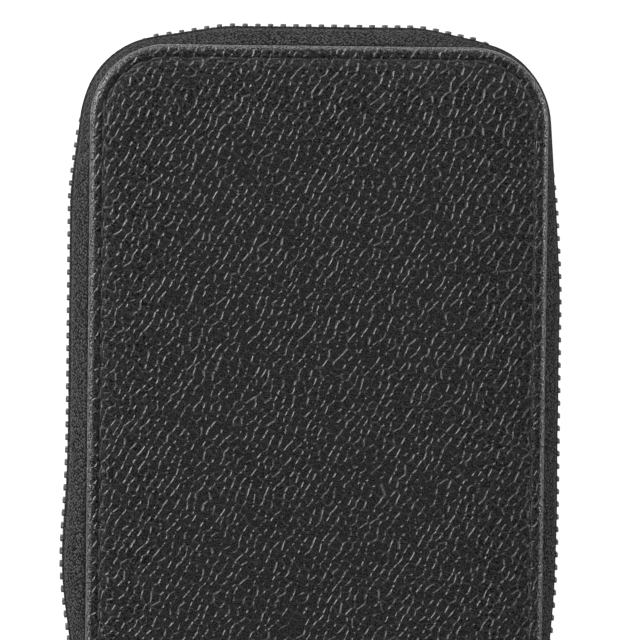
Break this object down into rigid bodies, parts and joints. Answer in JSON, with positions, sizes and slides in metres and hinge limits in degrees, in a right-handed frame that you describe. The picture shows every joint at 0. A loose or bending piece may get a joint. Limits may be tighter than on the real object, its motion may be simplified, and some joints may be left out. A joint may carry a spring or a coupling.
{
  "type": "fountain pen case",
  "caption": "Slim zip-around leather pen case: padded covers that fold open flat about a spine strip, elastic pen loops and a slip pocket inside, slider with a swinging pull.",
  "frame": {"origin": "middle of the back cover's outer face, on which the case lies", "axes": "+X across the case towards the slider's side, +Y from the spine to the zipped end, +Z out of the front cover"},
  "size_m": [0.0663, 0.1646, 0.026],
  "materials": {
    "leather": "embossed grain, satin",
    "wadding": "felted",
    "board": "plain",
    "lining_cloth": "fine plain weave",
    "zip_tape": "woven tape",
    "zip_teeth": "satin nylon",
    "elastic": "ribbed elastic",
    "zip_metal": "black enamel"
  },
  "bodies": {
    "back_cover": {"back_leather": "leather", "back_padding": "wadding", "back_board": "board", "back_spine_margin": "leather", "back_zip_tape": "zip_tape", "back_zip_teeth": "zip_teeth", "back_lining": "lining_cloth", "back_zip_stop": "zip_metal", "zip_bottom_stop": "zip_metal", "upper_pen_loops": "elastic", "lower_pen_loops": "elastic"},
    "spine": {"spine_leather": "leather", "spine_lining": "lining_cloth"},
    "front_cover": {"front_leather": "leather", "front_padding": "wadding", "front_board": "board", "front_spine_margin": "leather", "front_zip_tape": "zip_tape", "front_zip_teeth": "zip_teeth", "front_lining": "lining_cloth", "front_zip_stop": "zip_metal", "slip_pocket": "lining_cloth", "pocket_binding": "leather"},
    "zip_slider": {"slider_body": "zip_metal", "slider_crown": "zip_metal"},
    "zip_pull": {"pull_tab": "zip_metal"}
  },
  "joints": [
    {"name": "spine_fold", "type": "hinge", "parent": "back_cover", "child": "spine", "pos_m": [0, -0.0811, 0.00395], "axis": [1, 0, 0], "range_deg": [0, 90]},
    {"name": "cover_fold", "type": "hinge", "parent": "spine", "child": "front_cover", "pos_m": [0, -0.0811, 0.02205], "axis": [1, 0, 0], "range_deg": [0, 90]},
    {"name": "slider_run", "type": "slide", "parent": "back_cover", "child": "zip_slider", "axis": [0, 1, 0], "range_m": [0, 0.129], "deforming": ["back_zip_teeth", "front_zip_teeth"]},
    {"name": "pull_swing", "type": "hinge", "parent": "zip_slider", "child": "zip_pull", "pos_m": [0.0333, -0.0667, 0.013], "axis": [0, 0, -1], "range_deg": [0, 180]}
  ],
  "couplings": [
    {"joint": "cover_fold", "follows": "spine_fold", "ratio": 1}
  ]
}
